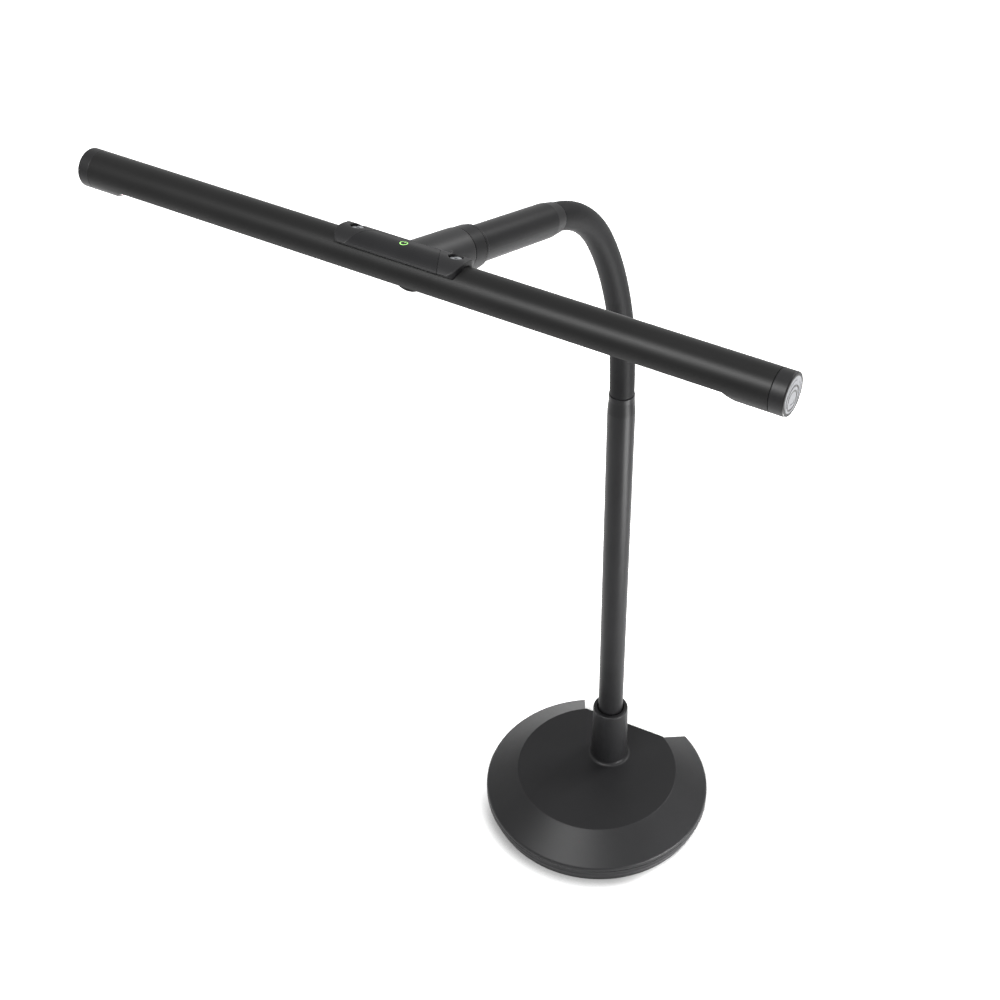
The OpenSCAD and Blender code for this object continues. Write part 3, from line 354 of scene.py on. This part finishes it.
wearing = {
    "powder": "pole_tube arm_sleeve swivel_ring",
    "anodised": "lamp_tube",
    "mouldedAbs": "base_tray base_cover",
    "capAbs": "end_cap_left end_cap_right",
    "softEdgedAbs": "head_housing",
    "foot": "foot_pad",
    "chrome": "saddle_screws",
    "turned": "end_badge_left end_badge_right",
    "film": "touch_panel",
    "ink": "touch_icon",
    "opal": "diffuser",
    "zincSteel": "base_screws driver_screws pole_bolt pole_washer pole_plug neck_ferrule_lower "
                 "neck_ferrule_upper swivel_spindle spring_washer stop_pin " + numbered("neck_core"),
    "castIron": "ballast_plate",
    "turnedBrass": "driver_spacers swivel_nut",
    "solderMask": "driver_board touch_board",
    "whiteMask": "led_board",
    "componentBlack": "driver_parts",
    "mouldedNylon": "friction_washer",
    "vinylJacket": "pole_lead arm_lead " + numbered("neck_lead"),
    "millAluminium": "heat_spreader",
    "phosphorGel": "led_chips",
    "blackPolyamide": "dc_inlet collar_bush thrust_washer",
    "hose": numbered("neck_hose"),
}
creaseAngle = radians(32)           # sharper edges than this stay sharp
for finish, names in wearing.items():
    for name in names.split():
        piece = cad[name]
        piece.data.materials.clear()
        piece.data.materials.append(finishes[finish])
        piece.data.shade_smooth()
        piece.data.set_sharp_from_angle(angle=creaseAngle)
print("materials given to", sum(len(names.split()) for names in wearing.values()), "parts")

# The rubber sleeve is made in five skins, one over each joint, shaped to the neck at rest. Each skin runs
# from the middle of one length to the middle of the next, so the seams lie where the neck stays stiff. Sizes
# are in metres.
neckSleeve = {
    "foot": (0.023, 0.4675),        # the pole's top, as y and z
    "lengthStep": 0.0426,           # from one joint to the next
    "bends": (5.3, 9.1, 7.7, 9.4, 19.4, 21.8),      # each length's own bend at rest, in degrees
    "radius": 0.0100,
    "boreRadius": 0.0074,
    "endRounding": 0.0008,
    "edgeSteps": 5,                 # faces round an end's edge
    "ringSpacing": 0.0012,
    "sides": 72,
    "creaseDegrees": 50,
    "bendReach": 0.0175,            # a distance on each side of a joint, at which points on the neck are found
}


def neckAt(distance):
    # the point on the neck's middle line and its heading there
    y, z = neckSleeve["foot"]
    heading = 0.0
    for bend in neckSleeve["bends"]:
        if distance <= 0:
            break
        share = min(distance / neckSleeve["lengthStep"], 1)
        angle = radians(bend) * share
        chord = neckSleeve["lengthStep"] * share * sin(angle / 2) / (angle / 2)
        y -= chord * sin(heading + angle / 2)
        z += chord * cos(heading + angle / 2)
        heading += angle
        distance -= neckSleeve["lengthStep"]
    return Vector((0, y, z)), heading


def skinOutline(start, end, roundStart, roundEnd):
    # the skin's closed outline as (distance, radius): from the bore over the outside and back
    edge = neckSleeve["endRounding"]
    outer, inner = neckSleeve["radius"], neckSleeve["boreRadius"]
    turns = [pi / 2 * step / neckSleeve["edgeSteps"] for step in range(neckSleeve["edgeSteps"] + 1)]
    rounding = [(edge * (1 - cos(turn)), edge * (1 - sin(turn))) for turn in turns]
    count = max(2, round((end - start - 2 * edge) / neckSleeve["ringSpacing"]))
    square = [(0, 0)]               # a plain corner, where the skin meets the next one
    opening = rounding if roundStart else square
    closing = rounding[::-1] if roundEnd else square
    outline = [(start, inner)]
    outline += [(start + along, outer - drop) for along, drop in opening]
    outline += [(start + edge + (end - start - 2 * edge) * ring / count, outer) for ring in range(1, count)]
    outline += [(end - along, outer - drop) for along, drop in closing]
    outline.append((end, inner))
    innerCount = count // 2
    outline += [(end - (end - start) * ring / innerCount, inner) for ring in range(1, innerCount)]
    return outline


def sleeveSkin(name, start, end, roundStart, roundEnd):
    outline = skinOutline(start, end, roundStart, roundEnd)
    sides = neckSleeve["sides"]
    points, faces = [], []
    for distance, radius in outline:
        middle, heading = neckAt(distance)
        across = Vector((0, cos(heading), sin(heading)))
        for side in range(sides):
            turn = 2 * pi * side / sides
            points.append(middle + radius * (cos(turn) * Vector((1, 0, 0)) + sin(turn) * across))
    for ring in range(len(outline)):
        here, there = ring * sides, (ring + 1) % len(outline) * sides
        for side in range(sides):
            beside = (side + 1) % sides
            faces.append((here + side, here + beside, there + beside, there + side))
    mesh = bpy.data.meshes.new(name)
    mesh.from_pydata(points, [], faces)
    mesh.update()
    mesh.materials.append(finishes["hose"])
    mesh.shade_smooth()
    mesh.set_sharp_from_angle(angle=radians(neckSleeve["creaseDegrees"]))
    skin = bpy.data.objects.new(name, mesh)
    bpy.context.collection.objects.link(skin)
    return skin


neckBodies = ["base", "neck_2", "neck_3", "neck_4", "neck_5", "arm"]
lengthStep = neckSleeve["lengthStep"]
neckLength = lengthStep * len(neckSleeve["bends"])
lastJoint = len(neckBodies) - 1
for joint in range(1, lastJoint + 1):
    start = 0 if joint == 1 else (joint - 0.5) * lengthStep
    end = neckLength if joint == lastJoint else (joint + 0.5) * lengthStep
    skin = sleeveSkin("neckSleeve%d" % joint, start, end, joint == 1, joint == lastJoint)
    before = neckAt(joint * lengthStep - neckSleeve["bendReach"])[0]
    after = neckAt(joint * lengthStep + neckSleeve["bendReach"])[0]
    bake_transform(skin)
    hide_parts("neck_hose_%d" % joint)
    if joint == lastJoint:
        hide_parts("neck_hose_6")
print("neck sleeve made")

# solved from the outlines of the base, the pole and the bar; angles in radians, lens in mm
camera = {"place": (0.50486, -0.92230, 1.27014), "yaw": 0.5827, "pitch": 0.7068, "roll": 0.0235,
          "lens": 60.53, "sensor": 36.0, "nearest": 0.05, "farthest": 50}
yaw, pitch, roll = camera["yaw"], camera["pitch"], camera["roll"]
ahead = Vector((-sin(yaw) * cos(pitch), cos(yaw) * cos(pitch), -sin(pitch)))
right = Vector((cos(yaw), sin(yaw), 0))
down = ahead.cross(right)
rolledRight = cos(roll) * right + sin(roll) * down
rolledDown = cos(roll) * down - sin(roll) * right
lensData = bpy.data.cameras.new("camera")
lensData.lens = camera["lens"]
lensData.sensor_width = camera["sensor"]
lensData.clip_start, lensData.clip_end = camera["nearest"], camera["farthest"]
cameraObject = bpy.data.objects.new("camera", lensData)
bpy.context.collection.objects.link(cameraObject)
turned = Matrix((rolledRight, -rolledDown, -ahead)).transposed()
cameraObject.matrix_world = Matrix.Translation(camera["place"]) @ turned.to_4x4()
bpy.context.scene.camera = cameraObject
bpy.context.scene.view_settings.view_transform = "Standard"
print("camera placed")

studio = {
    # place, target, width and height in metres, power in watts
    "frontBox": {"place": (-0.1, -1.25, 1.8), "target": (0, -0.15, 0.45), "size": (1.3, 0.55), "power": 58},
    "overheadBox": {"place": (0.1, 0.1, 2.2), "target": (0, 0, 0.2), "size": (0.8, 0.8), "power": 5},
    "poleGlow": {"place": (0.46, -0.04, 0.01), "target": (0, 0.023, 0.45), "size": (0.32, 0.4), "power": 15},
    "backBox": {"place": (0.56, 1.05, 1.55), "target": (0, 0, 0.6), "size": (0.5, 0.4), "power": 24},
    "leftFill": {"place": (-1.7, -0.2, 0.9), "target": (0, 0, 0.4), "size": (0.8, 0.8), "power": 1.5},
}
for name, lamp in studio.items():
    lightData = bpy.data.lights.new(name, "AREA")
    lightData.shape = "RECTANGLE"
    lightData.size, lightData.size_y = lamp["size"]
    lightData.energy = lamp["power"]
    light = bpy.data.objects.new(name, lightData)
    bpy.context.collection.objects.link(light)
    light.location = lamp["place"]
    light.visible_camera = False
    aim = Vector(lamp["target"]) - Vector(lamp["place"])
    light.rotation_euler = aim.to_track_quat("-Z", "Y").to_euler()


def seenWhite(tree):
    # 1 for rays that look at the background, straight or in a reflection, and 0 for those that light the lamp
    path = addNode(tree, "ShaderNodeLightPath")
    looks = path.outputs["Is Camera Ray"]
    for kind in ("Is Glossy Ray", "Is Transmission Ray"):
        looks = addNode(tree, "ShaderNodeMath", {}, {0: looks, 1: path.outputs[kind]},
                        operation="MAXIMUM").outputs["Value"]
    return looks


surroundings = {"colour": "#ffffff", "lightLevel": 0.12, "seenLevel": 1.0}
world = bpy.data.worlds.new("studio")
world.use_nodes = True
bpy.context.scene.world = world
sky = world.node_tree
sky.nodes.clear()
backdropColour = linear(surroundings["colour"])
dim = addNode(sky, "ShaderNodeBackground", {"Color": backdropColour, "Strength": surroundings["lightLevel"]})
white = addNode(sky, "ShaderNodeBackground", {"Color": backdropColour, "Strength": surroundings["seenLevel"]})
either = addNode(sky, "ShaderNodeMixShader", {}, {0: seenWhite(sky), 1: dim.outputs["Background"],
                                                  2: white.outputs["Background"]})
addNode(sky, "ShaderNodeOutputWorld", {}, {"Surface": either.outputs["Shader"]})
print("lamps and surroundings set")


# Background paper, pulped and calendered: matt white without a highlight. It is burnt out to
# white away from the lamp, and a painted contact shadow darkens its colour and glow within a few millimetres
# of the base's front edge.
def backgroundPaper():
    sheet = {"colour": "#fafafa", "roughness": 0.9,
             "nearLift": 0.1, "liftFrom": 0.108, "liftTo": 0.15,        # metres from the base's middle
             "paintedShadowReachMm": 16, "paintedShadowDarkest": 0.3, "paintedShadowFrom": 0.45, "paintedShadowTo": 0.97,
             "frontFrom": -0.085, "frontTo": -0.03}                     # the painted shadow fades out between these
    material, tree, shader, place = newSurface("whitePaper", sheet["colour"], sheet["roughness"],
                                               Specular_IOR_Level=0, Emission_Color=(1, 1, 1, 1))
    # painted contact shadow: ambient occlusion near the base darkens the paper's colour, at the front only
    contact = addNode(tree, "ShaderNodeAmbientOcclusion", {"Distance": sheet["paintedShadowReachMm"] / 1000}, samples=6)
    paintedShadowTone = addNode(tree, "ShaderNodeMapRange",
                          {"From Min": sheet["paintedShadowFrom"], "From Max": sheet["paintedShadowTo"],
                           "To Min": sheet["paintedShadowDarkest"]}, {"Value": contact.outputs["AO"]})
    axes = addNode(tree, "ShaderNodeSeparateXYZ", {}, {"Vector": place})
    behind = addNode(tree, "ShaderNodeMapRange",
                     {"From Min": sheet["frontFrom"], "From Max": sheet["frontTo"]},
                     {"Value": axes.outputs["Y"]}, interpolation_type="SMOOTHSTEP")
    paintedShade = addNode(tree, "ShaderNodeMix", {plainTo: 1.0},
                    {"Factor": behind.outputs["Result"], plainFrom: paintedShadowTone.outputs["Result"]})
    tones = addNode(tree, "ShaderNodeMix", {mixFrom: linear("#000000"), mixTo: linear(sheet["colour"])},
                    {"Factor": paintedShade.outputs["Result"]}, data_type="RGBA")
    tree.links.new(tones.outputs[mixResult], shader.inputs["Base Color"])
    reach = addNode(tree, "ShaderNodeVectorMath", {}, {0: place}, operation="LENGTH")
    burn = addNode(tree, "ShaderNodeMapRange",
                   {"From Min": sheet["liftFrom"], "From Max": sheet["liftTo"], "To Min": sheet["nearLift"]},
                   {"Value": reach.outputs["Value"]}, interpolation_type="SMOOTHSTEP")
    seenBurn = addNode(tree, "ShaderNodeMath", {}, {0: seenWhite(tree), 1: burn.outputs["Result"]},
                       operation="MULTIPLY")
    # the painted contact shadow dims the paper's glow as well
    lift = addNode(tree, "ShaderNodeMath", {}, {0: seenBurn.outputs["Value"], 1: paintedShade.outputs["Result"]},
                   operation="MULTIPLY")
    tree.links.new(lift.outputs["Value"], shader.inputs["Emission Strength"])
    return material


floorSize = 12
bpy.ops.mesh.primitive_plane_add(size=floorSize, location=(0, 0, 0))
floor = bpy.context.active_object
floor.name = "floor"
floor.data.materials.append(backgroundPaper())
print("floor laid")
